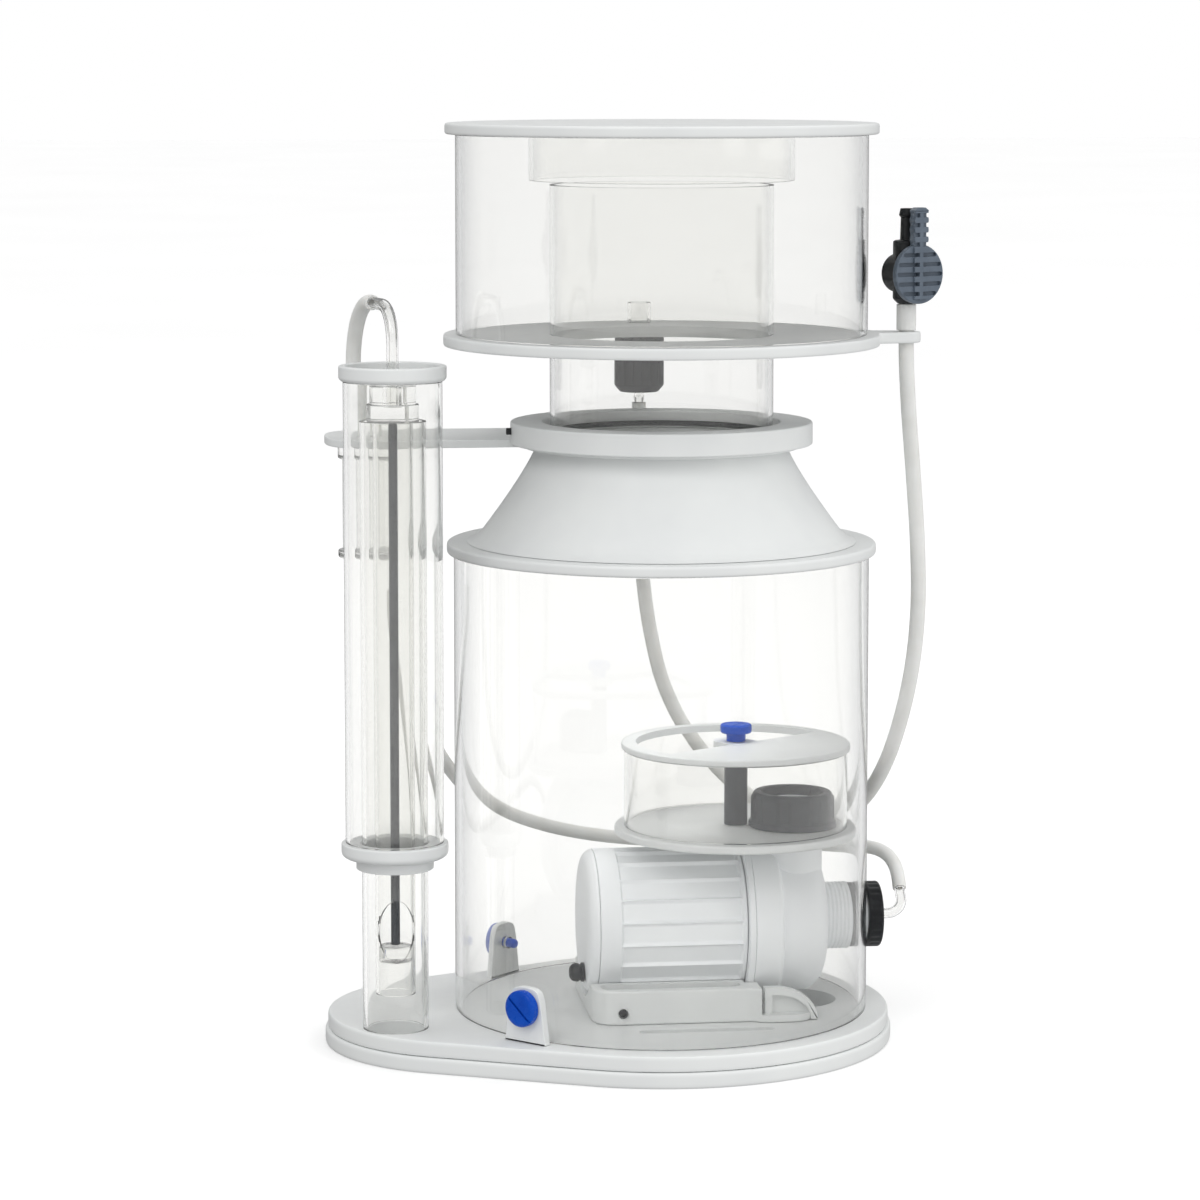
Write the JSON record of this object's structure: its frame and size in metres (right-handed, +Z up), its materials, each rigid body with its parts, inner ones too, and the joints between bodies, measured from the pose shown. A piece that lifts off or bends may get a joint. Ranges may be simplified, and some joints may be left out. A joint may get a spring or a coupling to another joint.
{
  "type": "protein skimmer",
  "caption": "In-sump aquarium protein skimmer: clear reaction tube with a needle-wheel pump, collector cup and sliding-sleeve outlet tower on an oval base.",
  "frame": {"origin": "on the base's underside, below the axis of the reaction tube", "axes": "+X towards the pump inlet, -X towards the outlet tower, +Y to the rear, +Z up"},
  "size_m": [0.4502, 0.3382, 0.664],
  "materials": {
    "white_pvc": "satin white PVC",
    "clear_acrylic": "clear polished acrylic",
    "pump_plastic": "light grey moulded plastic",
    "dark_grey_pvc": "dark grey PVC",
    "black_plastic": "black moulded plastic",
    "handle_plastic": "blue-grey moulded plastic",
    "blue_nylon": "blue nylon",
    "silicone_hose": "milky translucent silicone",
    "seal_rubber": "black rubber",
    "ceramic": "white ceramic",
    "magnet": "coated ferrite magnet",
    "potting": "resin potting"
  },
  "bodies": {
    "stand": {"base_plate_lower": "white_pvc", "base_plate_upper": "white_pvc", "body_tube": "clear_acrylic", "body_flange": "white_pvc", "cone": "white_pvc", "neck_collar": "white_pvc", "neck_seal": "seal_rubber", "bracket_arm": "white_pvc", "collar_screw": "black_plastic", "silencer_top_cap": "clear_acrylic", "silencer_tube": "clear_acrylic", "silencer_bottom_cap": "clear_acrylic", "outlet_pipe": "clear_acrylic", "inner_tube": "clear_acrylic", "inner_tube_cap": "clear_acrylic", "valve_rod": "dark_grey_pvc", "valve_rod_ring": "clear_acrylic", "bridge_tube": "clear_acrylic", "bridge_hose": "silicone_hose", "screw_bracket_front": "white_pvc", "screw_bracket_rear": "white_pvc", "motor_housing": "pump_plastic", "motor_rear_cap": "pump_plastic", "cable_gland": "black_plastic", "stator": "potting", "rear_bearing": "ceramic", "front_bearing": "ceramic", "volute_back_plate": "pump_plastic", "volute_housing": "pump_plastic", "inlet_nozzle": "pump_plastic", "inlet_seal": "seal_rubber", "air_elbow": "clear_acrylic", "pump_foot": "white_pvc", "foot_screw": "black_plastic", "chamber_floor": "white_pvc", "chamber_wall": "clear_acrylic", "chamber_top": "white_pvc", "chamber_post": "dark_grey_pvc", "air_hose": "silicone_hose"},
    "level_sleeve": {"level_sleeve": "clear_acrylic", "sleeve_top_ring": "white_pvc", "sleeve_bottom_ring": "white_pvc"},
    "thumb_screw_front": {"thumb_screw_front": "blue_nylon"},
    "thumb_screw_rear": {"thumb_screw_rear": "blue_nylon"},
    "chamber_screw": {"chamber_screw": "blue_nylon"},
    "union_nut": {"union_nut": "dark_grey_pvc"},
    "inlet_nut": {"inlet_nut": "black_plastic"},
    "rotor": {"rotor_magnet": "magnet", "rotor_shaft": "ceramic", "impeller": "white_pvc"},
    "cup": {"cup_floor": "white_pvc", "cup_wall": "clear_acrylic", "neck_tube": "clear_acrylic", "drain_tube": "clear_acrylic", "drain_hose": "silicone_hose", "valve_body": "black_plastic"},
    "drain_nut": {"drain_nut": "black_plastic"},
    "valve_handle": {"valve_handle": "handle_plastic"},
    "lid": {"lid_plate": "white_pvc", "lid_skirt": "clear_acrylic"}
  },
  "joints": [
    {"name": "cup_lift", "type": "slide", "parent": "stand", "child": "cup", "axis": [0, 0, 1], "range_m": [0, 0.15]},
    {"name": "lid_lift", "type": "slide", "parent": "cup", "child": "lid", "axis": [0, 0, 1], "range_m": [0, 0.1]},
    {"name": "level_sleeve_slide", "type": "slide", "parent": "stand", "child": "level_sleeve", "axis": [0, 0, 1], "range_m": [-0.1, 0.02]},
    {"name": "valve_handle_turn", "type": "hinge", "parent": "cup", "child": "valve_handle", "pos_m": [0.179, 0, 0.555], "axis": [0.4509, -0.8926, 0], "range_deg": [-90, 0]},
    {"name": "drain_nut_turn", "type": "hinge", "parent": "cup", "child": "drain_nut", "pos_m": [0, 0.127, 0.48], "axis": [0, 0, 1], "continuous": true},
    {"name": "thumb_screw_front_turn", "type": "hinge", "parent": "stand", "child": "thumb_screw_front", "pos_m": [-0.11172, -0.11172, 0.0477], "axis": [-0.7071, -0.7071, 0], "continuous": true},
    {"name": "thumb_screw_rear_turn", "type": "hinge", "parent": "stand", "child": "thumb_screw_rear", "pos_m": [-0.11172, 0.11172, 0.0477], "axis": [-0.7071, 0.7071, 0], "continuous": true},
    {"name": "chamber_screw_turn", "type": "hinge", "parent": "stand", "child": "chamber_screw", "pos_m": [0.0545, -0.005, 0.2], "axis": [0, 0, 1], "continuous": true},
    {"name": "union_nut_turn", "type": "hinge", "parent": "stand", "child": "union_nut", "pos_m": [0.0945, -0.016, 0.165], "axis": [0, 0, 1], "continuous": true},
    {"name": "inlet_nut_turn", "type": "hinge", "parent": "stand", "child": "inlet_nut", "pos_m": [0.156, 0, 0.0845], "axis": [1, 0, 0], "continuous": true},
    {"name": "rotor_spin", "type": "hinge", "parent": "stand", "child": "rotor", "pos_m": [0, 0, 0.0845], "axis": [1, 0, 0], "continuous": true}
  ]
}
